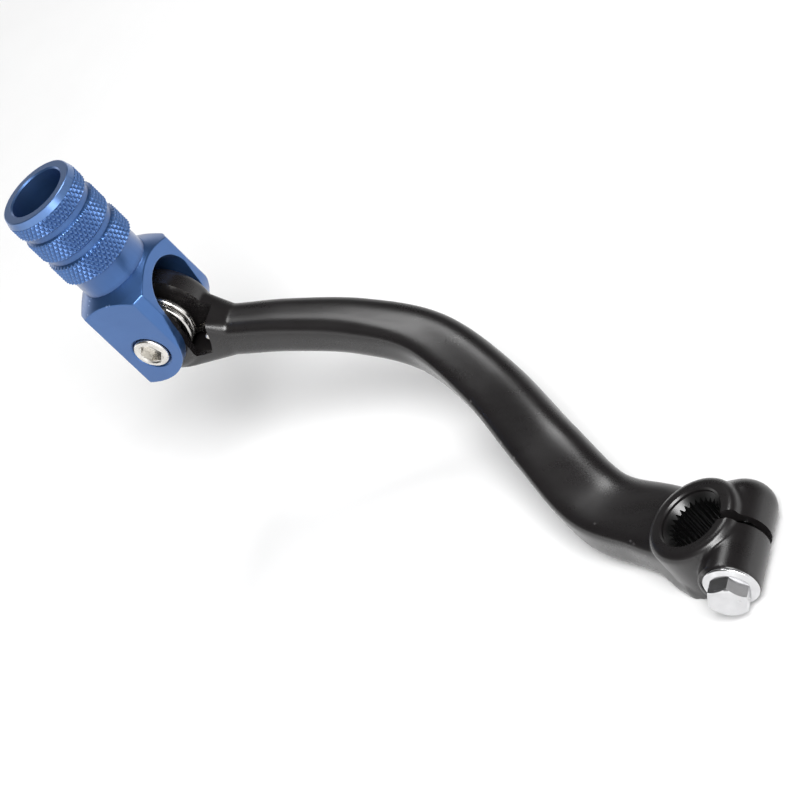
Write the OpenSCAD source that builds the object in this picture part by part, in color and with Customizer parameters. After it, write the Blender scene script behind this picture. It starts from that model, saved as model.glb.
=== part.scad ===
// Foot gear shift lever with a folding, sprung toe tip.
// Row frame: origin on the spline axis in the inboard face of the hub,
// +Z outboard along the spline axis, +X towards the toe tip,
// +Y the way the heads of both bolts face.

/* [Hub] */
// Width of the hub along the spline axis
hub_w = 14.4; // [14:0.2:18]
// Radius of the round part of the hub
hub_r = 10.7; // [10.5:0.1:12]
// Radius to the tooth crests of the splined bore
crest_r = 5.65; // [5.4:0.05:5.7]
// Radius to the tooth roots of the splined bore
root_r = 6.25; // [6:0.05:6.4]
// Number of teeth in the splined bore
teeth = 30; // [24:2:36]
// Radius of the smooth mouth at each end of the bore
mouth_r = 7.1; // [6.7:0.05:7.2]
// Width of the saw slit
slit_w = 2; // [1.6:0.1:2.4]
// Place of the saw slit's middle, towards the bolt head
slit_y = 1.3; // [0:0.1:1.5]
// Reach of the clamp lug from the spline axis
lug_reach = 13.9; // [13.5:0.1:15]

/* [Pinch bolt] */
// Distance from the spline axis to the pinch bolt's axis
pinch_offset = 8.6; // [8.6:0.1:9.5]
// Thread diameter
pinch_d = 6; // [5:0.5:6]
// Height of the bolt's seat above the spline axis
pinch_seat = 13.9; // [13:0.1:15]
// Diameter of the bolt's flange
flange_d = 11.7; // [11.5:0.1:13]
// Size of the bolt's hexagon across flats
hex_af = 8; // [7:0.5:8]

/* [Arm] */
// Width of the arm beside the toe tip
arm_w_tip = 10.5; // [10:0.5:13]
// Width of the arm beside the hub
arm_w_hub = 19.5; // [16:0.5:20]
// Thickness of the arm beside the hub, along the spline axis
arm_t_hub = 11.6; // [11:0.2:11.8]
// Corner sharpness of the arm's section, 2 is an ellipse
arm_corner = 3.2; // [2:0.2:5]

/* [Toe tip] */
// Place of the fold axis along +X
pivot_x = 137; // [130:0.5:145]
// Place of the fold axis's middle along +Y
pivot_y = -61.5; // [-70:0.1:-55]
// Height of the fold axis above the inboard face of the hub
pivot_z = 56.5; // [50:0.5:65]
// Diameter over the knurled bands
peg_d = 20.4; // [19:0.2:21]
// Reach of the peg's rim from the fold axis
peg_reach = 46.5; // [44:0.5:50]
// Diameter of the peg's blind bore
peg_bore_d = 14.4; // [12:0.2:15]
// Width of the clevis block along X
block_x = 20.3; // [19:0.1:21]
// Width of the clevis block along Y
block_y = 22.4; // [22.4:0.2:24]
// Width of the slot between the ears
slot_w = 15.9; // [15.9:0.1:16.2]

/* [Hidden] */

pivot = [pivot_x, pivot_y, pivot_z];
eps = 0.01;
fine = 96;
round_fn = 48;
tooth_pitch = 360 / teeth;

// Round clamp lug
boss_r = 6.5;
lug_end_y = -11.2;
lug_end_r = 4.5;

// Sloping web between the arm and the bolt's seat
web_foot = [[19, -1.6], [14, 3], [10.4, 6.3], [5.9, 9.6], [3, 10.3], [0, 0], [14, -8]];
web_low = 2.5;
web_top = [[15, -4], [9.5, 2], [7.5, 5.5], [3.5, 8.8], [0, 9], [0, 0]];
web_high = 10.5;

// Filling between the hub's ring and the lug, away from the bolt's seat
saddle = [[0, -9.4], [-3, -10], [-6, -10.3], [-8.5, -9.8], [-9, -7], [-4, -4]];
saddle_z = [1.2, 11.8];

// Eye of the arm, between the ears (Y from the pivot)
eye_r = 11.2;
eye_top = 7.5;
eye_bottom = -6.6;
eye_edge = 2.2;
neck_at = [-1.5, 0, -2.4];
neck_disc_r = 8.8;
neck_y = [-4.8, 7];
neck_rings = [5, 6];
stop_gap = 0.35;
stop_x = [0, 4, 7];

// Spring pocket in the eye, under a thin near cheek that is cut away on one side
pocket_r = 13.5;
pocket_y = [-1.1, 5.5];
coil_room_r = 9;
leg_room_z = 3;
leg_room_x = 3;
cheek_edge_x = -7.2;
cheek_edge_tilt = 10;
open_low_z = -8.5;

// Pinch bolt
hex_top = 4.8;
hex_turn = -2;
flange_h = 1.3;
pinch_length = 20.5;

// Bushing, bolt and seals on the fold axis
bushing_r = 4.25;
bolt_r = 3;
bolt_play = 0.05;
eye_play = 0.05;
ring_section_r = 0.6;
ring_groove_r = 5.5;
ring_groove_depth = 1.25;
washer_r = 7.4;
washer_near = [7.55, 7.9];
washer_far = [-7.9, -6.7];
ear_face = block_y / 2;
head_r = 4.4;
socket_af = 5;
head_top = ear_face + 0.5;
head_seat = ear_face - 1.6;

// Spring round the bushing
wire_r = 0.85;
coil_r = 7.1;
coil_y = [-0.15, 4.55];
arm_leg = [-11.6, -5.4];
arm_leg_y = 5.6;
tip_leg = [0, 12.5];
tip_leg_y = 8.9;
leg_play = 0.1;
step_angle = 15;
wire_points = 10;

// Peg, measured outboard from the fold axis
bands = [[24.8, 30.7], [32.8, 38.7], [40.8, 46.5]];
groove_r = peg_d / 2 - 0.7;
neck_r = 9;
rim_r = 9.5;
rim_slope = 1.8;
block_cone_z = 18;
block_chamfer = 2.1;
slot_root = 15.3;
ear_end_r = 12.9;
ear_end_at = [3.9, 3.6];
ear_from = [-block_x / 2, 8];

// Centreline of the arm from the eye to the hub, hand-picked
arm_path = [
    [135, -61, 53.5],
    [125, -61, 48],
    [109, -62, 42.5],
    [91.5, -61.5, 36],
    [74.5, -57.5, 28.5],
    [58, -44.5, 21.5],
    [41.5, -26.5, 16],
    [28.5, -13.3, 8.9],
    [13.8, -6.7, 6.5],
    [0, 0, 5.9]
];
steps_per_span = 5;
section_points = 24;

// Catmull-Rom spline through the points of a path
function at(path, i) = path[max(0, min(len(path) - 1, i))];
function spline(a, b, c, d, t) =
    0.5 * (2 * b + (c - a) * t + (2 * a - 5 * b + 4 * c - d) * t * t
           + (3 * b - a - 3 * c + d) * t * t * t);
function smooth(path, n) = [
    for (i = [0:len(path) - 2]) for (k = [0:n - 1])
        spline(at(path, i - 1), at(path, i), at(path, i + 1), at(path, i + 2), k / n),
    path[len(path) - 1]
];
function unit(v) = v / norm(v);
function heading(line, i) =
    unit(line[min(i + 1, len(line) - 1)] - line[max(i - 1, 0)]);
function power(v, e) = sign(v) * pow(abs(v), e);

// One closed ring of points: a rounded rectangle square to the line
function ring(centre, along, half_side, half_rise, corner, n) =
    let (side = unit(cross([0, 0, 1], along)), rise = cross(along, side))
    [for (k = [0:n - 1]) let (a = 360 * k / n)
        centre + side * half_side * power(cos(a), 2 / corner)
               + rise * half_rise * power(sin(a), 2 / corner)];

// Solid through rings that all have n points
module skin(rings, n) {
    last = len(rings) - 1;
    polyhedron(
        points = [for (r = rings) for (p = r) p],
        faces = concat(
            [[for (k = [0:n - 1]) k]],
            [for (i = [0:last - 1]) for (k = [0:n - 1])
                [i * n + k, (i + 1) * n + k,
                 (i + 1) * n + (k + 1) % n, i * n + (k + 1) % n]],
            [[for (k = [0:n - 1]) last * n + n - 1 - k]]),
        convexity = 6);
}

// Cylinder along Y between two heights
module along_y(r, low, high) {
    translate([0, high, 0]) rotate([90, 0, 0]) cylinder(r = r, h = high - low, $fn = fine);
}

module arm_sweep() {
    line = smooth(arm_path, steps_per_span);
    count = len(line);
    skin([for (i = [0:count - 1])
        let (t = i / (count - 1),
             wide = arm_w_tip + (arm_w_hub - arm_w_tip) * pow(t, 1.6),
             thick = arm_w_tip + (arm_t_hub - arm_w_tip) * t)
        ring(line[i], heading(line, i), wide / 2, thick / 2, arm_corner, section_points)],
        section_points);
}

// Round clamp lug along Y, with a rounded far end
module clamp_lug() {
    translate([boss_r - lug_reach, 0, boss_r]) rotate([-90, 0, 0])
        rotate_extrude($fn = fine)
            polygon(concat(
                [[0, lug_end_y]],
                [for (a = [-90:15:0]) [boss_r - lug_end_r + lug_end_r * cos(a),
                                       lug_end_y + lug_end_r + lug_end_r * sin(a)]],
                [[boss_r, pinch_seat], [0, pinch_seat]]));
}

// Round hub with the clamp lug that carries the pinch bolt
module hub_body() {
    cylinder(r = hub_r, h = hub_w, $fn = fine);
    clamp_lug();
    translate([0, 0, saddle_z[0]]) linear_extrude(saddle_z[1] - saddle_z[0]) polygon(saddle);
    hull() {
        linear_extrude(web_low) polygon(web_foot);
        linear_extrude(web_high) polygon(web_top);
    }
}

// Splined bore with its smooth mouths
module spline_cut() {
    translate([0, 0, -eps]) cylinder(r = crest_r, h = hub_w + 2 * eps, $fn = fine);
    for (k = [0:teeth - 1])
        rotate([0, 0, (k + 0.5) * tooth_pitch])
            translate([0, 0, -eps])
                linear_extrude(hub_w + 2 * eps)
                    polygon([[crest_r - 0.4, -0.4], [root_r, 0], [crest_r - 0.4, 0.4]]);
    for (end = [0, 1])
        translate([0, 0, end * hub_w]) mirror([0, 0, end])
            translate([0, 0, -eps]) {
                cylinder(r = mouth_r, h = 1 + eps, $fn = fine);
                translate([0, 0, 1])
                    cylinder(r1 = mouth_r, r2 = crest_r, h = mouth_r - crest_r, $fn = fine);
            }
}

module lever_arm() {
    color([0.06, 0.06, 0.065])
    difference() {
        union() {
            arm_sweep();
            hub_body();
            translate(pivot) eye();
            neck();
        }
        translate(pivot) {
            spring_pocket();
            translate([0, eye_bottom, 0]) along_y(25, -30, 0);
            translate([0, eye_top, 0]) along_y(pocket_r, 0, 30);
            along_y(bushing_r + eye_play, -20, 20);
            along_y(ring_groove_r, pocket_y[0] - ring_groove_depth, 0);
            along_y(ring_groove_r, -8, eye_bottom + ring_groove_depth);
            translate([arm_leg[0], 0, arm_leg[1]]) along_y(wire_r + leg_play, pocket_y[0], 6);
        }
        spline_cut();
        translate([-lug_reach - 1, slit_y - slit_w / 2, -1]) cube([lug_reach + 1, slit_w, hub_w + 2]);
        translate([-pinch_offset, 0, hub_w / 2]) {
            along_y(pinch_d / 2 + 0.3, 0, 40);
            along_y(pinch_d / 2 + 0.05, -40, 0);
            along_y(flange_d / 2 + 0.6, pinch_seat, 40);
        }
    }
}

// Boss of the eye, with a stop nose that meets the root of the clevis's slot
module eye() {
    deep = eye_top - eye_bottom;
    rotate([90, 0, 0]) translate([0, 0, -eye_top]) {
        rotate_extrude($fn = fine)
            polygon([[0, 0], [eye_r - eye_edge, 0], [eye_r, eye_edge], [eye_r, deep - eye_edge],
                     [eye_r - eye_edge, deep], [0, deep]]);
    }
    stop_nose();
}

// Taper from the eye to the arm's own section
module neck() {
    line = smooth(arm_path, steps_per_span);
    hull() {
        translate(pivot + neck_at) along_y(neck_disc_r, neck_y[0], neck_y[1]);
        skin([for (i = neck_rings)
            ring(line[i], heading(line, i), arm_w_tip / 2, arm_w_tip / 2, arm_corner, section_points)],
            section_points);
    }
}

module stop_nose() {
    low_y = eye_bottom + 0.4;
    intersection() {
        translate([0, 0, slot_root - slot_w / 2]) rotate([0, 90, 0])
            cylinder(d = slot_w - 2 * stop_gap, h = stop_x[2], $fn = fine);
        translate([0, pocket_y[0], 0]) rotate([90, 0, 0])
            linear_extrude(pocket_y[0] - low_y)
                polygon([[stop_x[0], 8], [stop_x[0], slot_root], [stop_x[1], slot_root],
                         [stop_x[2], 10.5], [stop_x[2], 8]]);
    }
}

// Room for the spring, open towards the hub
module spring_pocket() {
    along_y(coil_room_r, pocket_y[0], pocket_y[1]);
    intersection() {
        along_y(pocket_r, pocket_y[0], pocket_y[1]);
        union() {
            translate([-20, -20, leg_room_z]) cube(40);
            hub_side(cheek_edge_x + leg_room_x);
        }
    }
    intersection() {
        along_y(pocket_r, pocket_y[0], 12);
        hub_side(cheek_edge_x);
    }
}

// The hub's side of a tilted plane through x, down to the pocket's lower wall
module hub_side(x) {
    translate([x, 0, 0]) rotate([0, -cheek_edge_tilt, 0])
        translate([-20, pocket_y[0], open_low_z]) cube([20, 20, 20 - open_low_z]);
}

// Hexagon flange bolt along Y, head up
module pinch_bolt() {
    color([0.85, 0.85, 0.87])
    translate([-pinch_offset, pinch_seat, hub_w / 2]) {
        along_y(flange_d / 2, 0, flange_h);
        translate([0, hex_top, 0]) rotate([90, 0, 0]) rotate([0, 0, hex_turn])
            cylinder(r = hex_af / sqrt(3), h = hex_top - 0.5, $fn = 6);
        along_y(pinch_d / 2, -pinch_length, 0);
    }
}

module peg_outline() {
    r = peg_d / 2;
    rotate_extrude($fn = fine) {
        polygon([[0, block_cone_z - 4], [neck_r, block_cone_z - 4], [neck_r, bands[0][0]],
                 [r, bands[0][0]], [r, bands[0][1]], [groove_r, bands[0][1] + 0.7],
                 [groove_r, bands[1][0] - 0.7], [r, bands[1][0]], [r, bands[1][1]],
                 [groove_r, bands[1][1] + 0.7], [groove_r, bands[2][0] - 0.7],
                 [r, bands[2][0]], [r, peg_reach - rim_slope], [rim_r, peg_reach],
                 [0, peg_reach]]);
    }
}

// Where a line from point p touches the lower left of a circle
function tangent_point(centre, r, p) =
    let (d = p - centre, a = atan2(d[1], d[0]) + acos(r / norm(d))) centre + r * [cos(a), sin(a)];

// Outline of the clevis block, seen along Y
module clevis_side() {
    intersection() {
        translate([-block_x / 2, -20]) square([block_x, 20 + block_cone_z + 6]);
        union() {
            translate(ear_end_at) circle(r = ear_end_r, $fn = fine);
            polygon([ear_from, tangent_point(ear_end_at, ear_end_r, ear_from),
                     [block_x / 2, ear_end_at[1]], [block_x / 2, 30], [-block_x / 2, 30]]);
        }
    }
}

module clevis_block() {
    intersection() {
        translate([0, block_y / 2, 0]) rotate([90, 0, 0])
            linear_extrude(block_y) clevis_side();
        translate([0, 0, -30]) linear_extrude(60)
            polygon([for (q = [[1, 1], [-1, 1], [-1, -1], [1, -1]]) each
                let (cut = [q[0] * block_x / 2, q[1] * (block_y / 2 - block_chamfer)],
                     cap = [q[0] * (block_x / 2 - block_chamfer), q[1] * block_y / 2])
                q[0] * q[1] > 0 ? [cut, cap] : [cap, cut]]);
        rotate_extrude($fn = fine)
            polygon([[0, -30], [20, -30], [20, block_cone_z - 7.35], [neck_r, block_cone_z + 0.9],
                     [0, block_cone_z + 0.9]]);
    }
}

module toe_tip() {
    root_at = slot_root - slot_w / 2;
    color([0.13, 0.32, 0.62])
    translate(pivot)
    difference() {
        union() {
            peg_outline();
            clevis_block();
        }
        translate([0, 0, peg_reach - 24]) cylinder(d = peg_bore_d, h = 30, $fn = fine);
        translate([-20, 0, root_at]) rotate([0, 90, 0]) cylinder(d = slot_w, h = 40, $fn = fine);
        translate([-20, -slot_w / 2, -30]) cube([40, slot_w, 30 + root_at]);
        along_y(bolt_r + bolt_play, -20, 20);
        along_y(head_r + 0.3, head_seat, 20);
        translate([tip_leg[0], 0, tip_leg[1]]) along_y(wire_r + leg_play, 4, tip_leg_y + 0.2);
    }
}

// Low-head socket bolt that clamps the bushing between the ears
module pivot_bolt() {
    color([0.85, 0.84, 0.8])
    translate(pivot)
    difference() {
        union() {
            along_y(bolt_r, -ear_face, head_seat);
            along_y(head_r, head_seat, head_top);
        }
        translate([0, head_top + 1, 0]) rotate([90, 0, 0])
            cylinder(r = socket_af / sqrt(3), h = 3.2, $fn = 6);
    }
}

module pivot_bushing() {
    color([0.6, 0.55, 0.4])
    translate(pivot)
    difference() {
        along_y(bushing_r, -slot_w / 2, slot_w / 2);
        along_y(bolt_r + bolt_play, -10, 10);
    }
}

// Wire from a leg on the arm, round the bushing, to a leg in the toe tip
function tangent_angle(leg, way) =
    atan2(leg[1], leg[0]) + way * acos(coil_r / norm(leg));
coil_from = tangent_angle(arm_leg, 1);
coil_to = tangent_angle(tip_leg, -1) + 720;
coil_steps = round((coil_to - coil_from) / step_angle);
spring_line = concat(
    [[arm_leg[0], arm_leg_y, arm_leg[1]], [arm_leg[0], coil_y[0] + 1.2, arm_leg[1]],
     [arm_leg[0] + 0.4, coil_y[0] + 0.35, arm_leg[1] - 0.06],
     [arm_leg[0] + 1.3, coil_y[0], arm_leg[1] - 0.2]],
    [for (i = [0:coil_steps])
        let (t = i / coil_steps, a = coil_from + (coil_to - coil_from) * t)
        [coil_r * cos(a), coil_y[0] + (coil_y[1] - coil_y[0]) * t, coil_r * sin(a)]],
    [[tip_leg[0] + 0.7, coil_y[1], tip_leg[1] - 1.2],
     [tip_leg[0] + 0.2, coil_y[1] + 0.35, tip_leg[1] - 0.35],
     [tip_leg[0], coil_y[1] + 1.2, tip_leg[1]], [tip_leg[0], tip_leg_y, tip_leg[1]]]);

// Ring frames carried along the wire, so that it never twists
function carry(line, i, out) =
    let (along = heading(line, i)) unit(out - along * (out * along));
function frames(line, i, out) =
    i >= len(line) ? [] :
    let (next = carry(line, i, out)) concat([next], frames(line, i + 1, next));

module torsion_spring() {
    count = len(spring_line);
    out = frames(spring_line, 0, [0, 0, 1]);
    color([0.78, 0.78, 0.78])
    translate(pivot)
    skin([for (i = [0:count - 1])
        let (up = cross(heading(spring_line, i), out[i]))
        [for (k = [0:wire_points - 1]) let (b = 360 * k / wire_points)
            spring_line[i] + wire_r * (out[i] * cos(b) + up * sin(b))]], wire_points);
}

module o_ring(y) {
    color([0.05, 0.05, 0.05])
    translate(pivot + [0, y, 0]) rotate([90, 0, 0])
        rotate_extrude($fn = fine)
            translate([(ring_groove_r + bushing_r) / 2, 0]) circle(r = ring_section_r, $fn = round_fn);
}

module o_ring_near() {
    o_ring(pocket_y[0] - ring_groove_depth / 2);
}

module o_ring_far() {
    o_ring(eye_bottom + ring_groove_depth / 2);
}

module thrust_washer(span) {
    color([0.3, 0.3, 0.3])
    translate(pivot)
    difference() {
        along_y(washer_r, span[0], span[1]);
        along_y(bushing_r + 0.1, span[0] - 1, span[1] + 1);
    }
}

module thrust_washer_near() {
    thrust_washer(washer_near);
}

module thrust_washer_far() {
    thrust_washer(washer_far);
}

lever_arm();
pinch_bolt();
toe_tip();
pivot_bolt();
pivot_bushing();
torsion_spring();
o_ring_near();
o_ring_far();
thrust_washer_near();
thrust_washer_far();
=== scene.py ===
"""Looks of the gear shift lever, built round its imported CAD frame."""
import math

import bpy
import bmesh
import numpy as np
from mathutils import Matrix, Vector


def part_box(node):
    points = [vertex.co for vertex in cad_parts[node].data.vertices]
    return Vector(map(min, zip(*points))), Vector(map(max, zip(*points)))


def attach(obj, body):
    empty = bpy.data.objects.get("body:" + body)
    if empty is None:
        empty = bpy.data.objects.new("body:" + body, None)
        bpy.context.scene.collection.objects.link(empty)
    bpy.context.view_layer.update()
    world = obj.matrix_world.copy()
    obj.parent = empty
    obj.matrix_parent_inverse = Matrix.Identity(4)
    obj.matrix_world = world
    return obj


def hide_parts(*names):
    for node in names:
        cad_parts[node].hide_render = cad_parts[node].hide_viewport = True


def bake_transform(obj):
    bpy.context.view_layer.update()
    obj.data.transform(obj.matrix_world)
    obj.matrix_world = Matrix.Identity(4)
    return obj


MM = 0.001

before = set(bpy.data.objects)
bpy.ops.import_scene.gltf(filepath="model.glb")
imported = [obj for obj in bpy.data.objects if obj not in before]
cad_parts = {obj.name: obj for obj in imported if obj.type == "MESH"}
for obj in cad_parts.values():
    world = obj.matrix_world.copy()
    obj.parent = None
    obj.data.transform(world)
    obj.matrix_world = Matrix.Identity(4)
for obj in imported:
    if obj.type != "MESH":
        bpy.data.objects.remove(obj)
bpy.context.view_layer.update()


def box_mm(node):
    low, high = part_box(node)
    return np.array(low) / MM, np.array(high) / MM


# ---------------------------------------------------------------- camera
def add_camera():
    right = Vector((-0.7641, -0.2496, -0.5949)).normalized()
    back = right.cross(Vector((-0.2138, -0.7720, 0.5986))).normalized()
    up = back.cross(right)
    data = bpy.data.cameras.new("camera")
    data.sensor_width = 36
    data.lens = 128.79
    data.clip_start = 0.02
    data.clip_end = 20
    camera = bpy.data.objects.new("camera", data)
    camera.matrix_world = Matrix.Translation(Vector((-0.3138, 0.33606, 0.37538))) @ Matrix(
        (right, up, back)).transposed().to_4x4()
    bpy.context.scene.collection.objects.link(camera)
    bpy.context.scene.camera = camera


add_camera()


# ---------------------------------------------------------------- mesh helpers
def new_object(name, verts_mm, faces):
    """Object from points in mm, in the row frame."""
    mesh = bpy.data.meshes.new(name)
    mesh.from_pydata([tuple(p) for p in np.asarray(verts_mm, float) * MM], [], faces)
    mesh.validate()
    obj = bpy.data.objects.new(name, mesh)
    bpy.context.scene.collection.objects.link(obj)
    fix_normals(obj)
    return obj


def fix_normals(obj):
    bm = bmesh.new()
    bm.from_mesh(obj.data)
    bmesh.ops.recalc_face_normals(bm, faces=bm.faces)
    bm.to_mesh(obj.data)
    bm.free()


def bake(obj):
    """Applies every modifier."""
    graph = bpy.context.evaluated_depsgraph_get()
    mesh = bpy.data.meshes.new_from_object(obj.evaluated_get(graph))
    old = obj.data
    obj.modifiers.clear()
    obj.data = mesh
    mesh.name = obj.name
    if old.users == 0:
        bpy.data.meshes.remove(old)
    return obj


def drop(*objects):
    for o in objects:
        bpy.data.objects.remove(o)


def boolean(obj, other, operation):
    """Applies the cut, union or intersection and removes the other object."""
    modifier = obj.modifiers.new("b", "BOOLEAN")
    modifier.operation = operation
    modifier.object = other
    modifier.solver = "MANIFOLD"
    bake(obj)
    drop(other)
    return obj


def cut(obj, *others):
    for other in others:
        boolean(obj, other, "DIFFERENCE")
    return obj


def join(name, parts):
    """One object from several closed shells."""
    bm = bmesh.new()
    for o in parts:
        bm.from_mesh(o.data)
    mesh = bpy.data.meshes.new(name)
    bm.to_mesh(mesh)
    bm.free()
    drop(*parts)
    obj = bpy.data.objects.new(name, mesh)
    bpy.context.scene.collection.objects.link(obj)
    return obj


def fuse(obj, voxel):
    """Makes one skin of overlapping shells."""
    modifier = obj.modifiers.new("r", "REMESH")
    modifier.mode = "VOXEL"
    modifier.voxel_size = voxel * MM
    return bake(obj)


def points_mm(obj):
    co = np.empty(len(obj.data.vertices) * 3, np.float32)
    obj.data.vertices.foreach_get("co", co)
    return co.reshape(-1, 3) / MM


def relax(obj, times, weight=None):
    """Smooths the mesh; weight is one number from 0 to 1 for each point."""
    modifier = obj.modifiers.new("s", "SMOOTH")
    modifier.factor = 0.5
    modifier.iterations = times
    if weight is not None:
        group = obj.vertex_groups.new(name="soft")
        levels = np.round(np.clip(weight, 0, 1) * 20).astype(int)
        for level in range(1, 21):
            group.add(np.nonzero(levels == level)[0].tolist(), level / 20, "REPLACE")
        modifier.vertex_group = "soft"
    bake(obj)
    obj.vertex_groups.clear()
    return obj


def weld(obj, gap):
    """Merges points closer than a gap in mm, which clears slivers left by cuts."""
    bm = bmesh.new()
    bm.from_mesh(obj.data)
    bmesh.ops.remove_doubles(bm, verts=bm.verts, dist=gap * MM)
    bmesh.ops.dissolve_degenerate(bm, dist=gap * 0.1 * MM, edges=bm.edges)
    bm.to_mesh(obj.data)
    bm.free()
    return obj


def shade(obj, angle=35):
    obj.data.shade_smooth()
    obj.data.set_sharp_from_angle(angle=math.radians(angle))
    return obj


def grid_faces(rows, columns, closed_rows=False):
    """Quads of a grid that closes on itself along its columns, and with closed_rows along its rows too."""
    faces = []
    for i in range(rows if closed_rows else rows - 1):
        a, b = i * columns, ((i + 1) % rows) * columns
        for k in range(columns):
            q = (k + 1) % columns
            faces.append((a + k, a + q, b + q, b + k))
    return faces


def along_y(points):
    """Turns points made round +Z so that they stand round +Y."""
    p = np.asarray(points, float)
    return np.stack([p[:, 0], p[:, 2], -p[:, 1]], 1)


def end_faces(rows, columns):
    """Flat faces that close both ends of a grid."""
    last = (rows - 1) * columns
    return [tuple(range(columns)), tuple(reversed(range(last, last + columns)))]


def ring_at(radius, height, theta):
    return np.stack([radius * np.cos(theta), radius * np.sin(theta), np.full(len(theta), height)], 1)


def close_ends(points, faces, columns, low, high):
    """Closes both ends of a stack of rings with fans round two points on its axis."""
    first = len(points)
    last = first - columns
    for k in range(columns):
        q = (k + 1) % columns
        faces.append((first, q, k))
        faces.append((first + 1, last + k, last + q))
    return np.concatenate([points, [[0, 0, low], [0, 0, high]]])


def lathe(name, profile, at=(0, 0, 0), y_axis=False, segments=128):
    """Solid of revolution over a profile of (radius, height).

    The profile runs from the bottom's middle to the top's middle, or it is a closed ring.
    """
    profile = np.asarray(profile, float)
    theta = np.linspace(0, 2 * np.pi, segments, endpoint=False)
    open_ends = profile[0, 0] == 0
    body = profile[1:-1] if open_ends else profile
    pts = np.concatenate([ring_at(r, h, theta) for r, h in body])
    faces = grid_faces(len(body), segments, closed_rows=not open_ends)
    if open_ends:
        pts = close_ends(pts, faces, segments, profile[0, 1], profile[-1, 1])
    if y_axis:
        pts = along_y(pts)
    return new_object(name, pts + np.asarray(at, float), faces)


def arc(centre, radius, start, end, steps=8):
    a = np.radians(np.linspace(start, end, steps + 1))
    return [(centre[0] + radius * math.cos(t), centre[1] + radius * math.sin(t)) for t in a]


def prism(name, outline, low, high, axis="z", at=(0, 0, 0)):
    """Straight solid over an outline: (x, y) for axis z, (x, z) for axis y, (y, z) for axis x."""
    outline = np.asarray(outline, float)
    n = len(outline)
    pts = []
    for h in (low, high):
        for a, b in outline:
            pts.append({"z": (a, b, h), "y": (a, h, b), "x": (h, a, b)}[axis])
    faces = [tuple(range(n)), tuple(range(2 * n - 1, n - 1, -1))]
    faces += [(k, (k + 1) % n, n + (k + 1) % n, n + k) for k in range(n)]
    return new_object(name, np.asarray(pts) + np.asarray(at, float), faces)


def hull(name, points):
    """Convex solid round a cloud of points."""
    bm = bmesh.new()
    for p in points:
        bm.verts.new([c * MM for c in p])
    found = bmesh.ops.convex_hull(bm, input=bm.verts)
    inside = {g for g in found["geom_interior"] + found["geom_unused"] if isinstance(g, bmesh.types.BMVert)}
    bmesh.ops.delete(bm, geom=list(inside), context="VERTS")
    mesh = bpy.data.meshes.new(name)
    bm.to_mesh(mesh)
    bm.free()
    obj = bpy.data.objects.new(name, mesh)
    bpy.context.scene.collection.objects.link(obj)
    fix_normals(obj)
    return obj


def drum(name, radius, low, high, at=(0, 0, 0), chamfer=0, segments=96):
    """Round cutter along Y that flares by its chamfer at the top."""
    profile = [(0, low), (radius, low), (radius, high - chamfer), (radius + chamfer, high), (0, high)]
    if not chamfer:
        profile.pop(3)
    return lathe(name, profile, at, y_axis=True, segments=segments)


def hexagon(corner, turn):
    """Corners of a hexagon turned by an angle in degrees."""
    angles = [math.radians(60 * k + turn) for k in range(6)]
    return [(corner * math.cos(a), corner * math.sin(a)) for a in angles]


# ---------------------------------------------------------------- sizes shared with the CAD source, in mm
bush_low, bush_high = box_mm("pivot_bushing")
PIVOT = (bush_low + bush_high) / 2
bolt_low, bolt_high = box_mm("pinch_bolt")
PINCH_X = (bolt_low[0] + bolt_high[0]) / 2
PINCH_TOP = bolt_high[1]
FLANGE_R = (bolt_high[0] - bolt_low[0]) / 2
tip_high = box_mm("toe_tip")[1]
arm_low, arm_high = box_mm("lever_arm")

HUB_W = 14.4
HUB_R = 10.7
LUG_REACH = -arm_low[0]
SEAT_Y = arm_high[1]
CREST_R, ROOT_R, TEETH = 5.65, 6.25, 30
MOUTH_R = 7.1
SLIT_W, SLIT_Y = 2.0, 1.3
BOSS_R, BOSS_LOW, BOSS_ROUND = 6.5, -11.2, 4.5
ARM_TIP_W, ARM_HUB_W, ARM_HUB_T = 10.5, 19.5, 11.6
ARM_PATH = [
    (135, -61, 53.5), (125, -61, 48), (109, -62, 42.5), (91.5, -61.5, 36), (74.5, -57.5, 28.5),
    (58, -44.5, 21.5), (41.5, -26.5, 16), (28.5, -13.3, 8.9), (13.8, -6.7, 6.5), (0, 0, 5.9)]
EYE_R, EYE_TOP, EYE_BOTTOM, EYE_EDGE = 11.2, 7.5, -6.6, 2.2
SLOT_W, SLOT_ROOT = 15.9, 15.3
EAR_Y, HEAD_SEAT_Y = 11.2, 9.6
M6_HOLE_R = 3.05
POCKET_R, POCKET_LOW, POCKET_HIGH = 13.5, -1.1, 5.5
WIRE_R, COIL_R, COIL_LOW, COIL_HIGH = 0.85, 7.1, -0.15, 4.55
ARM_LEG, ARM_LEG_TOP, TIP_LEG = np.array((-11.6, -5.4)), 5.6, np.array((0.0, 12.5))
LEG_HOLE_R = WIRE_R + 0.1


# ---------------------------------------------------------------- lever arm
def smooth_path(path, steps):
    p = np.asarray(path, float)
    p = np.concatenate([p[:1], p, p[-1:]])
    out = []
    for i in range(1, len(p) - 2):
        a, b, c, d = p[i - 1], p[i], p[i + 1], p[i + 2]
        for t in np.linspace(0, 1, steps, endpoint=False):
            out.append(0.5 * (2 * b + (c - a) * t + (2 * a - 5 * b + 4 * c - d) * t * t
                              + (3 * b - a - 3 * c + d) * t ** 3))
    out.append(p[-2])
    return np.array(out)


def unit(v):
    return v / np.linalg.norm(v)


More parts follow.
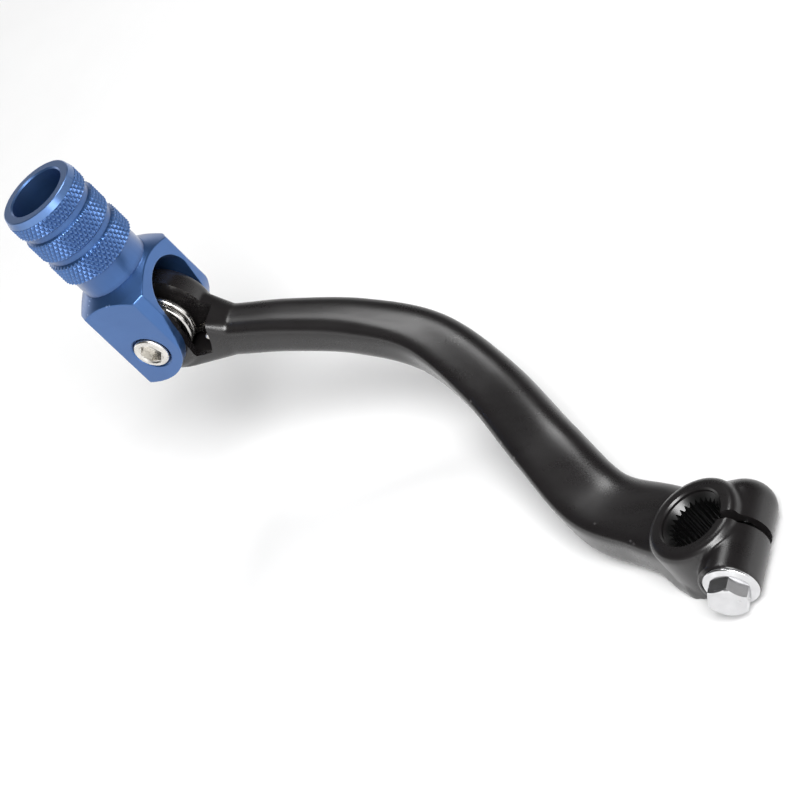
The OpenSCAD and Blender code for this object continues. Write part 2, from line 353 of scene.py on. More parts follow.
def arm_ring(line, i):
    """Points of the arm's section at one step of its line."""
    a = np.linspace(0, 2 * np.pi, 112, endpoint=False)
    c, s = np.cos(a), np.sin(a)
    t = i / (len(line) - 1)
    # the outboard corner on the bolt heads' side turns into a forged edge towards the hub
    edge = np.clip((t - 0.28) / 0.2, 0, 1) ** 2
    power = np.where((c < 0) & (s > 0), 3.1 + 3.4 * edge, 2.9)
    power = np.where((c < 0) & (s < 0), 3.1 + 1.4 * edge, power)
    wide_unit = np.sign(c) * np.abs(c) ** (2 / power)
    rise_unit = np.sign(s) * np.abs(s) ** (2 / power)
    heading = unit(line[min(i + 1, len(line) - 1)] - line[max(i - 1, 0)])
    side = unit(np.cross((0, 0, 1), heading))
    rise = np.cross(heading, side)
    wide = ARM_TIP_W + (ARM_HUB_W - ARM_TIP_W) * t ** 1.6
    thick = ARM_TIP_W + (ARM_HUB_T - ARM_TIP_W) * t
    return line[i] + np.outer(wide_unit * wide / 2, side) + np.outer(rise_unit * thick / 2, rise)


def arm_sweep():
    line = smooth_path(ARM_PATH, 26)
    rings = [arm_ring(line, i) for i in range(len(line))]
    count, n = len(rings), len(rings[0])
    return new_object("sweep", np.concatenate(rings), grid_faces(count, n) + end_faces(count, n))


def hub_ring():
    """Hub's ring, with a small round inboard and a larger one outboard."""
    low, high = 0.7, 1.7
    profile = [(0, 0), (HUB_R - low, 0)] + arc((HUB_R - low, low), low, -90, 0, 4)
    profile += arc((HUB_R - high, HUB_W - high), high, 0, 90, 10) + [(0, HUB_W)]
    return lathe("ring", profile, segments=160)


def clamp_boss():
    """Round boss along Y that carries the pinch bolt, with a rounded far end."""
    profile = [(0, BOSS_LOW)] + arc((BOSS_R - BOSS_ROUND, BOSS_LOW + BOSS_ROUND), BOSS_ROUND, -90, 0, 16)
    profile += [(BOSS_R, SEAT_Y - 0.5), (BOSS_R - 0.5, SEAT_Y), (0, SEAT_Y)]
    return lathe("boss", profile, at=(BOSS_R - LUG_REACH, 0, BOSS_R), y_axis=True, segments=160)


def saddle():
    """Fills the valley between the hub's ring and the boss, away from the bolt's head."""
    outline = [(0, -9.4), (-3, -10), (-6, -10.3), (-8.5, -9.8), (-9, -7), (-4, -4)]
    return prism("saddle", outline, 1.2, 11.8)


def web_slope():
    """Slope between the arm and the bolt's seat."""
    foot = [(19, -1.6), (14, 3), (10.4, 6.3), (5.9, 9.6), (3, 10.3), (0, 0), (14, -8)]
    top = [(15, -4), (9.5, 2), (7.5, 5.5), (3.5, 8.8), (0, 9), (0, 0)]
    points = [(x, y, z) for x, y in foot for z in (0, 2.5)]
    points += [(x, y, z) for x, y in top for z in (0, 10.5)]
    return hull("web", points)


def neck_taper():
    """Taper from a disc beside the eye to the arm's own section."""
    line = smooth_path(ARM_PATH, 5)
    disc_r, disc_x, disc_z, disc_y = 8.8, PIVOT[0] - 1.5, PIVOT[2] - 2.4, (-4.8, 7)
    ring = [(disc_x + disc_r * math.cos(a), PIVOT[1] + y, disc_z + disc_r * math.sin(a))
            for a in np.linspace(0, 2 * np.pi, 96, endpoint=False) for y in disc_y]
    return hull("neck", ring + [tuple(p) for i in (5, 6) for p in arm_ring(line, i)])


def eye_drum():
    """Eye round the pivot, rounded at both ends."""
    middle = EYE_R - EYE_EDGE
    profile = [(0, EYE_BOTTOM)] + arc((middle, EYE_BOTTOM + EYE_EDGE), EYE_EDGE, -90, 0, 8)
    profile += arc((middle, EYE_TOP - EYE_EDGE), EYE_EDGE, 0, 90, 8) + [(0, EYE_TOP)]
    return lathe("eye", profile, at=PIVOT, y_axis=True, segments=160)


def stop_nose():
    """Nose on the eye that stops against the root of the clevis's slot."""
    radius = SLOT_W / 2 - 0.35
    side = [(0, 8), (0, SLOT_ROOT), (4, SLOT_ROOT), (7, 10.5), (7, 8)]
    nose = prism("nose", side, EYE_BOTTOM + 0.4, POCKET_LOW, axis="y", at=PIVOT)
    end = arc((0, SLOT_ROOT - SLOT_W / 2), radius, 0, 180, 40) + [(-radius, 5), (radius, 5)]
    return boolean(nose, prism("end", end, -1, 9, axis="x", at=PIVOT), "INTERSECT")


def soften(arm):
    """Smooths the skin: most at the hub's forged fillets, least round the machined eye."""
    p = points_mm(arm)
    from_pivot = p - PIVOT
    at_hub = np.clip(1 - np.abs(np.hypot(p[:, 0], p[:, 1]) - HUB_R - 1.2) / 3.2, 0, 1)
    below_rim = np.clip((HUB_W - 1.2 - p[:, 2]) / 0.8, 0, 1)
    near_eye = np.clip(1 - (np.linalg.norm(from_pivot, axis=1) - 13) / 4, 0, 1)
    crease = np.clip(1 - np.abs(np.linalg.norm(from_pivot[:, [0, 2]], axis=1) - 14) / 4, 0, 1)
    relax(arm, 14, weight=np.maximum(at_hub * below_rim, 0.5 * crease))
    relax(arm, 5, weight=1 - 0.55 * near_eye)


def hub_side(x):
    """Outline of the pocket's hub side: left of a slanted line through x, above a slanted lower wall."""
    slant, wall, high, far = math.radians(10), 8.5, 20, 30
    lean = math.tan(slant)
    return [(x - high * lean, high), (x - far, high), (x - far, -far * math.sin(slant) - wall),
            (x + wall * lean, -wall)]


def cut_pocket(arm):
    """Room for the coils, and a wider one for the arm leg that is open to the top on the hub's side."""
    cut(arm, drum("room", 9, POCKET_LOW, POCKET_HIGH, PIVOT, segments=160))
    upper = [(-20, 3), (20, 3), (20, 23), (-20, 23)]
    areas = [(upper, POCKET_HIGH, 8), (hub_side(-4.2), POCKET_HIGH, 8), (hub_side(-7.2), 12, 14)]
    parts = []
    for outline, top, cover in areas:
        wide = drum("wide", POCKET_R, POCKET_LOW, top, PIVOT, segments=200)
        parts.append(boolean(wide, prism("area", outline, -3, cover, axis="y", at=PIVOT), "INTERSECT"))
    cut(arm, *parts)


def cut_eye(arm):
    """Bore for the bushing, a groove at each end for its O-ring, and one for the spring's arm leg."""
    groove_r, groove_depth = 5.5, 1.25
    cut(arm, drum("bush", 4.3, -20, 20, PIVOT),
        drum("groove_high", groove_r, POCKET_LOW - groove_depth, 0.2, PIVOT),
        drum("groove_low", groove_r, -12, EYE_BOTTOM + groove_depth, PIVOT),
        drum("leg", LEG_HOLE_R, POCKET_LOW, 6, PIVOT + (ARM_LEG[0], 0, ARM_LEG[1]), segments=32))


def cut_spline(arm):
    """Splined bore: a star prism, and at each end a smooth mouth with a small lead-in chamfer."""
    step = np.pi / TEETH
    star = []
    for k in np.arange(TEETH) * 2 * np.pi / TEETH:
        for d, rad in ((-0.30, CREST_R), (0.30, CREST_R), (0.86, ROOT_R), (1.14, ROOT_R)):
            star.append((rad * math.cos(k + d * step), rad * math.sin(k + d * step)))
    cut(arm, prism("star", star, -1, HUB_W + 1))
    chamfer, depth = 0.35, 1
    cone_end = depth + MOUTH_R - CREST_R
    profile = [(0, -2), (MOUTH_R + chamfer + 1, -2), (MOUTH_R + chamfer, 0), (MOUTH_R, chamfer),
               (MOUTH_R, depth), (CREST_R, cone_end), (0, cone_end)]
    cut(arm, lathe("mouth", profile, segments=160))
    outboard = lathe("mouth", profile, segments=160)
    outboard.data.transform(Matrix.Translation((0, 0, HUB_W * MM)) @ Matrix.Rotation(math.pi, 4, "X"))
    cut(arm, outboard)


def cut_clamp(arm):
    """Saw slit, the bolt's clearance and tapped holes, and its spotface."""
    low, high = SLIT_Y - SLIT_W / 2, SLIT_Y + SLIT_W / 2
    outside = -LUG_REACH - 2
    cut(arm, prism("slit", [(outside, low), (0, low), (0, high), (outside, high)], -2, HUB_W + 2))
    at = np.array([PINCH_X, 0, HUB_W / 2])
    spot_r, spot_y = FLANGE_R + 0.7, SEAT_Y - 0.25
    spot = [(0, spot_y), (spot_r, spot_y), (spot_r, 30), (0, 30)]
    tap_mouth = [(0, -13), (4.9, -13), (M6_HOLE_R, -10.6), (0, -10.6)]
    cut(arm, drum("shank", 3.3, 0, 40, at, segments=64),
        drum("tap", M6_HOLE_R, -40, 0.5, at, segments=64),
        lathe("spot", spot, at=at, y_axis=True),
        lathe("tap_mouth", tap_mouth, at=at, y_axis=True, segments=64))


def build_arm():
    arm = join("arm", [arm_sweep(), hub_ring(), clamp_boss(), saddle(), web_slope(), eye_drum(), neck_taper(),
                       stop_nose()])
    fuse(arm, 0.36)
    soften(arm)
    # pocket, bores and seats are cut after the smoothing, so their edges stay crisp
    cut_pocket(arm)
    cut_eye(arm)
    cut_spline(arm)
    cut_clamp(arm)
    return arm


lever = weld(build_arm(), 0.03)
lever.name = "lever_forging"
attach(lever, "lever")
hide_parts("lever_arm")
shade(lever, 32)


# ---------------------------------------------------------------- toe tip
PEG_R, PEG_END = (tip_high[0] - PIVOT[0]), tip_high[2] - PIVOT[2]
BANDS = [(24.8, 30.7), (32.8, 38.7), (40.8, 44.7)]
GROOVE_R, NECK_R, RIM_R = PEG_R - 0.9, 9.0, 9.5
PEG_BORE_R, BORE_FLOOR = 7.2, 22.5
KNURLS, KNURL_PITCH, KNURL_DEPTH = 50, 2.1, 0.42


def knurl(theta, height):
    """Height of a diamond knurl below its crests, from 0 to 1."""
    u = KNURLS * theta / (2 * np.pi) + height / KNURL_PITCH
    v = KNURLS * theta / (2 * np.pi) - height / KNURL_PITCH
    tri_u = 2 * np.abs(u - np.floor(u) - 0.5)
    tri_v = 2 * np.abs(v - np.floor(v) - 0.5)
    return np.clip(np.maximum(tri_u, tri_v) - 0.12, 0, 0.8) / 0.8


def peg_rows():
    """Outline of the peg, as (radius, height, knurled), from its root to the floor of its bore."""
    rows = [(0.0, 16.2, False), (NECK_R, 16.2, False), (NECK_R, 20.0, False), (NECK_R, 24.2, False),
            (NECK_R + 0.15, 24.55, False), (NECK_R + 0.5, BANDS[0][0], False)]
    band_edge_r = PEG_R - 0.45
    for i, (low, high) in enumerate(BANDS):
        rows.append((band_edge_r, low + 0.02, False))
        steps = int(round((high - low - 0.5) / 0.13))
        rows += [(PEG_R, h, True) for h in np.linspace(low + 0.25, high - 0.25, steps)]
        rows.append((band_edge_r, high - 0.02, False))
        if i < 2:
            next_low = BANDS[i + 1][0]
            rows += [(GROOVE_R, h, False) for h in (high + 0.35, (high + next_low) / 2, next_low - 0.35)]
    rows += [(PEG_R - 0.12, 44.72, False), (RIM_R + 0.08, PEG_END - 0.12, False),
             (RIM_R - 0.12, PEG_END, False), (PEG_BORE_R + 0.35, PEG_END, False),
             (PEG_BORE_R, PEG_END - 0.35, False), (PEG_BORE_R, 35, False),
             (PEG_BORE_R, BORE_FLOOR, False), (0.0, BORE_FLOOR - 1.2, False)]
    return rows


def build_peg():
    """Neck, knurled bands, rim and blind bore, turned as one."""
    rows = peg_rows()
    columns = KNURLS * 8
    theta = np.linspace(0, 2 * np.pi, columns, endpoint=False)
    rings = []
    for r, h, knurled in rows[1:-1]:
        radius = np.full(columns, r)
        if knurled:
            radius = radius - KNURL_DEPTH * knurl(theta, h)
        rings.append(ring_at(radius, h, theta))
    faces = grid_faces(len(rings), columns)
    points = close_ends(np.concatenate(rings), faces, columns, rows[0][1], rows[-1][1])
    return new_object("peg", points + PIVOT, faces)


def build_block():
    """Clevis block: rounded ears, chamfered corners, a cone towards the peg, and the slot for the eye."""
    half_x, half_y, chamfer = PEG_R - 0.05, EAR_Y, 2.1
    ear_x, ear_z, ear_r = 3.9, 3.6, 12.9
    flank_z, top_z = 8.0, 24
    # the ear's round starts where a line from the flank's end touches it, and ends on the other flank
    gap = np.array((-half_x - ear_x, flank_z - ear_z))
    touch = math.degrees(math.atan2(gap[1], gap[0]) + math.acos(ear_r / np.linalg.norm(gap)))
    last = 360 - math.degrees(math.acos((half_x - ear_x) / ear_r))
    side = [(-half_x, top_z), (-half_x, flank_z)] + arc((ear_x, ear_z), ear_r, touch % 360, last, 48)
    block = prism("block", side + [(half_x, top_z)], -half_y, half_y, axis="y", at=PIVOT)
    corner_x, corner_y = half_x - chamfer, half_y - chamfer
    plan = [(half_x, corner_y), (corner_x, half_y), (-corner_x, half_y), (-half_x, corner_y),
            (-half_x, -corner_y), (-corner_x, -half_y), (corner_x, -half_y), (half_x, -corner_y)]
    boolean(block, prism("plan", plan, -40, 40, at=PIVOT), "INTERSECT")
    wide, cone_low, cone_high = 24, 7.65, 18.9
    cone = [(0, -40), (wide, -40), (wide, cone_low), (NECK_R, cone_high), (0, cone_high)]
    boolean(block, lathe("cone", cone, at=PIVOT, segments=192), "INTERSECT")
    radius = SLOT_W / 2
    slot = arc((0, SLOT_ROOT - radius), radius, 0, 180, 60) + [(-radius, -30), (radius, -30)]
    cut(block, prism("slot", slot, -30, 30, axis="x", at=PIVOT))
    return block


def build_tip():
    block = build_block()
    fuse(block, 0.19)
    relax(block, 5)
    boolean(block, build_peg(), "UNION")
    far_mouth = [(0, -12), (3.9, -12), (M6_HOLE_R, -10.8), (0, -10.8)]
    cut(block, drum("bolt_hole", M6_HOLE_R, -20, 20, PIVOT),
        drum("seat", 4.75, HEAD_SEAT_Y, EAR_Y + 0.02, PIVOT, chamfer=0.35),
        drum("tip_leg", LEG_HOLE_R, 4, 9.1, PIVOT + (TIP_LEG[0], 0, TIP_LEG[1]), segments=32),
        lathe("far_mouth", far_mouth, at=PIVOT, y_axis=True, segments=96))
    return block


tip = weld(build_tip(), 0.03)
tip.name = "toe_tip_body"
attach(tip, "tip")
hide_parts("toe_tip")
shade(tip, 26)


# ---------------------------------------------------------------- bolts
THREAD_R, THREAD_PITCH = 5.95 / 2, 1.0


def threaded_shank(low, high, at):
    """Threaded M6 shank along Y, chamfered at its low end."""
    depth = 0.6 * THREAD_PITCH
    segments, chamfer = 40, 0.8
    rows = int((high - low) / THREAD_PITCH * 10)
    theta = np.linspace(0, 2 * np.pi, segments, endpoint=False)
    rings = []
    for i in range(rows + 1):
        h = low + (high - low) * i / rows
        phase = (h / THREAD_PITCH - theta / (2 * np.pi)) % 1
        saw = np.clip(2 * np.abs(phase - 0.5) * 1.25 - 0.12, 0, 1)
        radius = THREAD_R - depth * saw
        rings.append(ring_at(np.minimum(radius, THREAD_R - chamfer + (h - low)), h, theta))
    points = along_y(np.concatenate(rings)) + np.asarray(at, float)
    return new_object("shank", points, grid_faces(rows + 1, segments) + end_faces(rows + 1, segments))


def build_pinch_bolt():
    """Hexagon head with a chamfered crown, flange and shank."""
    at = np.array([PINCH_X, SEAT_Y, HUB_W / 2])
    top = PINCH_TOP - SEAT_Y
    apothem = 4.0
    corner = apothem / math.cos(math.radians(30))
    head = prism("hex", hexagon(corner, -2), 0.6, top, axis="y", at=at)
    crown = [(0, 0), (6, 0), (6, top - 0.8), (corner - 0.02, top - 0.68), (corner - 0.3, top - 0.36),
             (apothem - 0.15, top - 0.07), (apothem - 0.5, top), (0, top)]
    boolean(head, lathe("crown", crown, at=at, y_axis=True), "INTERSECT")
    flange = [(0, 0), (FLANGE_R - 0.25, 0)] + arc((FLANGE_R - 0.35, 0.4), 0.35, -70, 75, 8)
    flange += [(corner + 0.3, 1.15), (corner, 1.3), (0, 1.3)]
    boolean(head, lathe("flange", flange, at=at, y_axis=True), "UNION")
    boolean(head, threaded_shank(bolt_low[1] - SEAT_Y, 0.3, at), "UNION")
    return head


def build_pivot_bolt():
    """Low round head with a hexagon socket, a plain shank through the sleeve and a threaded end."""
    head_top = box_mm("pivot_bolt")[1][1] - PIVOT[1]
    head_r, edge, dish_y = 4.4, 0.75, head_top - 0.3
    profile = [(0, HEAD_SEAT_Y), (head_r, HEAD_SEAT_Y), (head_r, head_top - edge)]
    profile += arc((head_r - edge, head_top - edge), edge, 0, 78, 8)
    profile += [(3.15, head_top), (2.8, dish_y), (0, dish_y)]
    head = lathe("head", profile, at=PIVOT, y_axis=True)
    corner = 2.5 / math.cos(math.radians(30))
    cut(head, prism("socket", hexagon(corner, 12), head_top - 2.6, head_top + 1, axis="y", at=PIVOT))
    shank = threaded_shank(-11.2, -7.0, PIVOT)
    plain = [(0, -7.2), (2.98, -7.2), (2.98, 9.8), (0, 9.8)]
    boolean(shank, lathe("plain", plain, at=PIVOT, y_axis=True, segments=64), "UNION")
    boolean(head, shank, "UNION")
    return head


pinch = build_pinch_bolt()
pinch.name = "flange_bolt"
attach(pinch, "lever")
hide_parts("pinch_bolt")
shade(pinch, 28)

pivot_bolt = build_pivot_bolt()
pivot_bolt.name = "socket_bolt"
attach(pivot_bolt, "tip")
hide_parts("pivot_bolt")
shade(pivot_bolt, 28)


# ---------------------------------------------------------------- spring
def wire(name, line, radius, around=16):
    """Round wire along a line, carried without twist and narrowed at both ends."""
    line = np.asarray(line, float)
    count = len(line)
    theta = np.linspace(0, 2 * np.pi, around, endpoint=False)
    out = np.array([0.0, 0.0, 1.0])
    pts = []
    for i in range(count):
        heading = unit(line[min(i + 1, count - 1)] - line[max(i - 1, 0)])
        out = unit(out - heading * (out @ heading))
        up = np.cross(heading, out)
        r = radius * (0.72 if i in (0, count - 1) else 1.0)
        pts.append(line[i] + r * (np.outer(np.cos(theta), out) + np.outer(np.sin(theta), up)))
    return new_object(name, np.concatenate(pts), grid_faces(count, around) + end_faces(count, around))


def tangent(leg, way):
    """Angle at which a straight line to the leg leaves the coil."""
    return math.atan2(leg[1], leg[0]) + way * math.acos(COIL_R / np.linalg.norm(leg))


def build_spring():
    """Coil that runs on into its leg in the tip, and apart from it the leg on the arm."""
    start, stop = tangent(ARM_LEG, 1), tangent(TIP_LEG, -1) + 4 * math.pi
    steps, bend = 150, 1.1
    coil = []
    for i in range(steps + 1):
        t = i / steps
        a = start + (stop - start) * t
        coil.append((COIL_R * math.cos(a), COIL_LOW + (COIL_HIGH - COIL_LOW) * t, COIL_R * math.sin(a)))
    bends = np.linspace(0.1, math.pi / 2, 8)
    x, z = TIP_LEG
    tip_leg = [(x, COIL_HIGH + bend * (1 - math.cos(b)), z - bend * (1 - math.sin(b))) for b in bends]
    tip_leg += [(x, 7, z), (x, 8.75, z), (x, 8.9, z)]
    corner = np.array((ARM_LEG[0], COIL_LOW, ARM_LEG[1]))
    away = unit(corner - coil[0])
    top = ARM_LEG_TOP - COIL_LOW
    arm_leg = coil[4::-1]
    arm_leg += [corner - away * bend * (1 - math.sin(b)) + (0, bend * (1 - math.cos(b)), 0) for b in bends]
    arm_leg += [corner + (0, rise, 0) for rise in (3, top - 0.15, top)]
    return (wire("spring_coil", np.array(coil + tip_leg) + PIVOT, WIRE_R),
            wire("spring_arm_leg", np.array(arm_leg) + PIVOT, WIRE_R))


spring, spring_leg = build_spring()
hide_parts("torsion_spring")
shade(spring, 50)
shade(spring_leg, 50)
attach(spring_leg, "lever")
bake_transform(spring)


# ---------------------------------------------------------------- materials
class Nodes:
    """Short hand for a node material."""

    def __init__(self, name):
        self.material = bpy.data.materials.new(name)
        self.material.use_nodes = True
        self.tree = self.material.node_tree
        self.shader = next(n for n in self.tree.nodes if n.type == "BSDF_PRINCIPLED")

    def add(self, kind, inputs=None, **settings):
        node = self.tree.nodes.new(kind)
        for k, v in settings.items():
            setattr(node, k, v)
        for k, v in (inputs or {}).items():
            if isinstance(v, bpy.types.NodeSocket):
                self.tree.links.new(v, node.inputs[k])
            else:
                node.inputs[k].default_value = v
        return node

    def object_position(self):
        return self.add("ShaderNodeTexCoord").outputs["Object"]

    def pointiness(self):
        return self.add("ShaderNodeNewGeometry").outputs["Pointiness"]

    def stretched(self, vector, factors):
        return self.add("ShaderNodeVectorMath", {0: vector, 1: factors}, operation="MULTIPLY").outputs[0]

    def noise(self, vector, scale, detail=3.0, roughness=0.55, stretch=None):
        if stretch is not None:
            vector = self.stretched(vector, stretch)
        return self.add("ShaderNodeTexNoise", {"Vector": vector, "Scale": scale, "Detail": detail,
                                                "Roughness": roughness}).outputs["Fac"]

    def span(self, value, low, high, to_low, to_high):
        return self.add("ShaderNodeMapRange", {"Value": value, "From Min": low, "From Max": high,
                                                "To Min": to_low, "To Max": to_high}).outputs["Result"]

    def vary(self, noise, to_low=0.0, to_high=1.0):
        """Spreads the middle of a noise over a range."""
        return self.span(noise, 0.3, 0.7, to_low, to_high)

    def math(self, operation, a, b):
        return self.add("ShaderNodeMath", {0: a, 1: b}, operation=operation).outputs[0]

    def mix(self, factor, a, b):
        node = self.add("ShaderNodeMix", {0: factor}, data_type="RGBA")
        for socket, value in ((node.inputs[6], a), (node.inputs[7], b)):
            if isinstance(value, bpy.types.NodeSocket):
                self.tree.links.new(value, socket)
            else:
                socket.default_value = (*value, 1)
        return node.outputs[2]

    def bump(self, height, distance, strength=1.0, normal=None):
        inputs = {"Height": height, "Distance": distance, "Strength": strength}
        if normal is not None:
            inputs["Normal"] = normal
        return self.add("ShaderNodeBump", inputs).outputs["Normal"]

    def set(self, **values):
        names = {"color": "Base Color", "metal": "Metallic", "rough": "Roughness", "normal": "Normal",
                 "coat": "Coat Weight", "coat_rough": "Coat Roughness", "specular": "Specular IOR Level"}
        for k, v in values.items():
            socket = self.shader.inputs[names[k]]
            if isinstance(v, bpy.types.NodeSocket):
                self.tree.links.new(v, socket)
            elif k == "color":
                socket.default_value = (*v, 1)
            else:
                socket.default_value = v
        return self.material


def black_anodised():
    """Black coat, with a painted highlight lightening edges outside the bore, and painted shade darkening
    hollows and the inside of the bore.
    """
    m = Nodes("black_anodised")
    at = m.object_position()
    cloud = m.noise(at, 45, 4)
    grain = m.noise(at, 2600, 2, 0.6)
    handling = m.noise(at, 160, 3, 0.6, stretch=(0.35, 1.4, 1.0))
    point = m.pointiness()
    flat = m.stretched(at, (1, 1, 0))
    from_axis = m.add("ShaderNodeVectorMath", {0: flat}, operation="LENGTH").outputs["Value"]
    outside = m.span(from_axis, 0.0064, 0.0072, 0.0, 1.0)
    # painted highlight: convex edges made lighter, in patches, and not inside the bore
    painted_edge_highlight = m.math("MULTIPLY", m.span(point, 0.57, 0.66, 0.0, 0.8), m.vary(m.noise(at, 420, 4), 0.35, 1.0))
    painted_edge_highlight = m.math("MULTIPLY", painted_edge_highlight, outside)
    tone = m.mix(m.vary(cloud), (0.0075, 0.0066, 0.0068), (0.0115, 0.0102, 0.0106))
    # painted shade: hollows and creases made darker
    tone = m.mix(m.span(point, 0.49, 0.40, 0.0, 0.7), tone, (0.0025, 0.0022, 0.0022))
    # painted shade: the inside of the spline bore made near black
    tone = m.mix(outside, (0.003, 0.003, 0.003), tone)
    color = m.mix(painted_edge_highlight, tone, (0.11, 0.105, 0.108))
    rough = m.math("ADD", m.vary(handling, 0.26, 0.32), m.vary(grain, -0.015, 0.015))
    normal = m.bump(grain, 0.000012, 0.55, m.bump(cloud, 0.00012, 0.25))
    return m.set(color=color, metal=0.0, rough=rough, normal=normal, specular=0.55)


def blue_anodised():
    """Blue coat on aluminium, with a painted highlight lightening edges and painted shade darkening hollows,
    and fine turning lines.
    """
    m = Nodes("blue_anodised")
    at = m.object_position()
    cloud = m.noise(at, 60, 3)
    grain = m.noise(at, 3200, 2, 0.65)
    point = m.pointiness()
    tone = m.mix(m.vary(cloud), (0.044, 0.118, 0.310), (0.056, 0.142, 0.360))
    # painted shade: hollows made darker
    tone = m.mix(m.span(point, 0.49, 0.42, 0.0, 0.85), tone, (0.014, 0.034, 0.110))
    # painted highlight: convex edges made lighter
    color = m.mix(m.span(point, 0.53, 0.64, 0.0, 0.75), tone, (0.26, 0.42, 0.76))
    turned = m.noise(at, 900, 2, 0.5, stretch=(0.06, 0.06, 3.0))
    rough = m.math("ADD", m.vary(cloud, 0.30, 0.35), m.vary(turned, -0.03, 0.03))
    normal = m.bump(grain, 0.00001, 0.45, m.bump(turned, 0.00001, 0.35))
    return m.set(color=color, metal=0.85, rough=rough, normal=normal, coat=0.5, coat_rough=0.25)


def plated(name, light, dark, rough_low, rough_high, below=-1.0):
    """Plated steel with painted shade in hollows; under the Y called below, in metres, it is painted near
    black as shade on the length that sits inside other parts.
    """
    m = Nodes(name)
    at = m.object_position()
    cloud = m.noise(at, 300, 4)
    grain = m.noise(at, 1500, 3, 0.6)
    height = m.add("ShaderNodeSeparateXYZ", {0: at}).outputs["Y"]
    tone = m.mix(m.span(cloud, 0.35, 0.7, 0.0, 1.0), light, dark)
    # painted shade: hollows made darker
    tone = m.mix(m.span(m.pointiness(), 0.48, 0.40, 0.0, 0.8), tone, tuple(0.35 * c for c in dark))
    # painted shade: near black under the Y called below, on the bolt's length inside the clamp
    tone = m.mix(m.span(height, below - 0.0006, below, 1.0, 0.0), tone, (0.02, 0.02, 0.02))
    rough = m.span(m.math("ADD", cloud, m.math("MULTIPLY", grain, 0.5)), 0.5, 0.95, rough_low, rough_high)
    return m.set(color=tone, metal=1.0, rough=rough, normal=m.bump(grain, 0.000012, 0.4))


def drawn_wire():
    m = Nodes("spring_steel")
    at = m.object_position()
    cloud = m.noise(at, 500, 4)
    lines = m.noise(at, 1400, 3, 0.6)
    color = m.mix(m.span(cloud, 0.35, 0.7, 0.0, 1.0), (0.66, 0.65, 0.63), (0.50, 0.48, 0.46))
    return m.set(color=color, metal=1.0, rough=m.vary(lines, 0.17, 0.30), normal=m.bump(lines, 0.00001, 0.5))


def dull_black(name, scale, detail, dark, light, rough, bump):
    """Rubber or polymer without metal; rough is (low, high) and bump is (distance, strength)."""
    m = Nodes(name)
    grain = m.noise(m.object_position(), scale, detail, 0.6)
    color = m.mix(m.vary(grain), dark, light)
    return m.set(color=color, metal=0.0, rough=m.vary(grain, *rough), normal=m.bump(grain, *bump))


def dress(obj, material):
    obj.data.materials.clear()
    obj.data.materials.append(material)


LOOKS = {
    "black_anodised": black_anodised(),
    "blue_anodised": blue_anodised(),
    "zinc_steel": plated("zinc_steel", (0.64, 0.64, 0.65), (0.56, 0.56, 0.57), 0.20, 0.28,
                         below=(SEAT_Y - 0.6) * MM),
    "stainless": plated("stainless", (0.78, 0.76, 0.72), (0.62, 0.60, 0.56), 0.20, 0.34),
    "bushing_steel": plated("bushing_steel", (0.50, 0.48, 0.45), (0.36, 0.34, 0.31), 0.22, 0.38),
    "spring_steel": drawn_wire(),
    "nitrile": dull_black("nitrile", 1800, 4, (0.010, 0.010, 0.010), (0.020, 0.020, 0.019),
                          rough=(0.5, 0.65), bump=(0.00003, 0.5)),
    "washer_polymer": dull_black("washer_polymer", 1200, 3, (0.020, 0.020, 0.021), (0.032, 0.032, 0.033),
                                 rough=(0.42, 0.55), bump=(0.00002, 0.4)),
}
dress(lever, LOOKS["black_anodised"])
dress(tip, LOOKS["blue_anodised"])
dress(pinch, LOOKS["zinc_steel"])
dress(pivot_bolt, LOOKS["stainless"])
dress(spring, LOOKS["spring_steel"])
dress(spring_leg, LOOKS["spring_steel"])
for node, look in (("pivot_bushing", "bushing_steel"), ("o_ring_near", "nitrile"), ("o_ring_far", "nitrile"),
                   ("thrust_washer_near", "washer_polymer"), ("thrust_washer_far", "washer_polymer")):
    dress(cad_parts[node], LOOKS[look])


# ---------------------------------------------------------------- floor and light
def add_floor():
    size = 3.0
    mesh = bpy.data.meshes.new("floor")
    corners = [(-size, -size, 0), (size, -size, 0), (size, size, 0), (-size, size, 0)]
    mesh.from_pydata(corners, [], [(0, 1, 2, 3)])
    floor = bpy.data.objects.new("floor", mesh)
    bpy.context.scene.collection.objects.link(floor)
    m = Nodes("pale_floor")
    grain = m.noise(m.object_position(), 30, 4)
    color = m.mix(m.vary(grain), (0.93, 0.93, 0.93), (0.95, 0.95, 0.95))
    dress(floor, m.set(color=color, rough=0.9, specular=0.1))


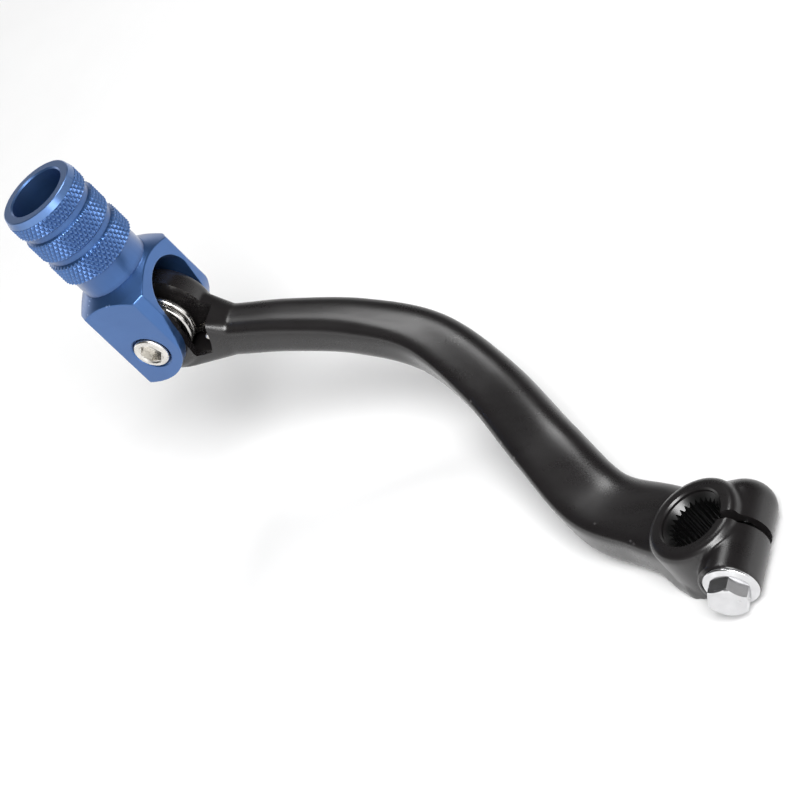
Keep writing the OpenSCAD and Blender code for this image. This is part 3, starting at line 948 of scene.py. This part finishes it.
def add_light(name, at, towards, size, power):
    """Square light at a point, turned towards another."""
    data = bpy.data.lights.new(name, "AREA")
    data.shape = "SQUARE"
    data.size = size
    data.energy = power
    light = bpy.data.objects.new(name, data)
    at, towards = Vector(at), Vector(towards)
    light.location = at
    light.rotation_euler = (towards - at).to_track_quat("-Z", "Y").to_euler()
    bpy.context.scene.collection.objects.link(light)


def add_world(low, high, top):
    """Bright near the horizon, dark high up, and dimmer behind the hub's boss."""
    world = bpy.data.worlds.new("studio")
    world.use_nodes = True
    tree = world.node_tree
    back = tree.nodes["Background"]
    back.inputs["Color"].default_value = (1, 1, 1, 1)
    where = tree.nodes.new("ShaderNodeTexCoord").outputs["Generated"]
    split = tree.nodes.new("ShaderNodeSeparateXYZ")
    tree.links.new(where, split.inputs[0])

    def ramp(value, settings):
        node = tree.nodes.new("ShaderNodeMapRange")
        node.interpolation_type = "SMOOTHSTEP"
        for key, number in zip(("From Min", "From Max", "To Min", "To Max"), settings):
            node.inputs[key].default_value = number
        tree.links.new(value, node.inputs["Value"])
        return node.outputs["Result"]

    side = tree.nodes.new("ShaderNodeVectorMath")
    side.operation = "DOT_PRODUCT"
    side.inputs[1].default_value = (-0.8, -0.6, 0)
    tree.links.new(where, side.inputs[0])
    product = tree.nodes.new("ShaderNodeMath")
    product.operation = "MULTIPLY"
    tree.links.new(ramp(split.outputs["Z"], (0.05, top, low, high)), product.inputs[0])
    tree.links.new(ramp(side.outputs["Value"], (-0.3, 0.85, 1.0, 0.35)), product.inputs[1])
    tree.links.new(product.outputs[0], back.inputs["Strength"])
    bpy.context.scene.world = world


add_floor()
add_world(1.7, 0.05, 0.5)
centre = (0.07, -0.03, 0.03)
add_light("key", (-1.2, 1.1, 1.9), centre, 1.2, 78)
add_light("overhead", (0.07, -0.45, 0.89), centre, 0.3, 2.2)
add_light("left", (-0.8, 0.55, 0.35), centre, 0.5, 3)
bpy.context.scene.view_settings.view_transform = "Standard"
bpy.context.scene.view_settings.look = "None"
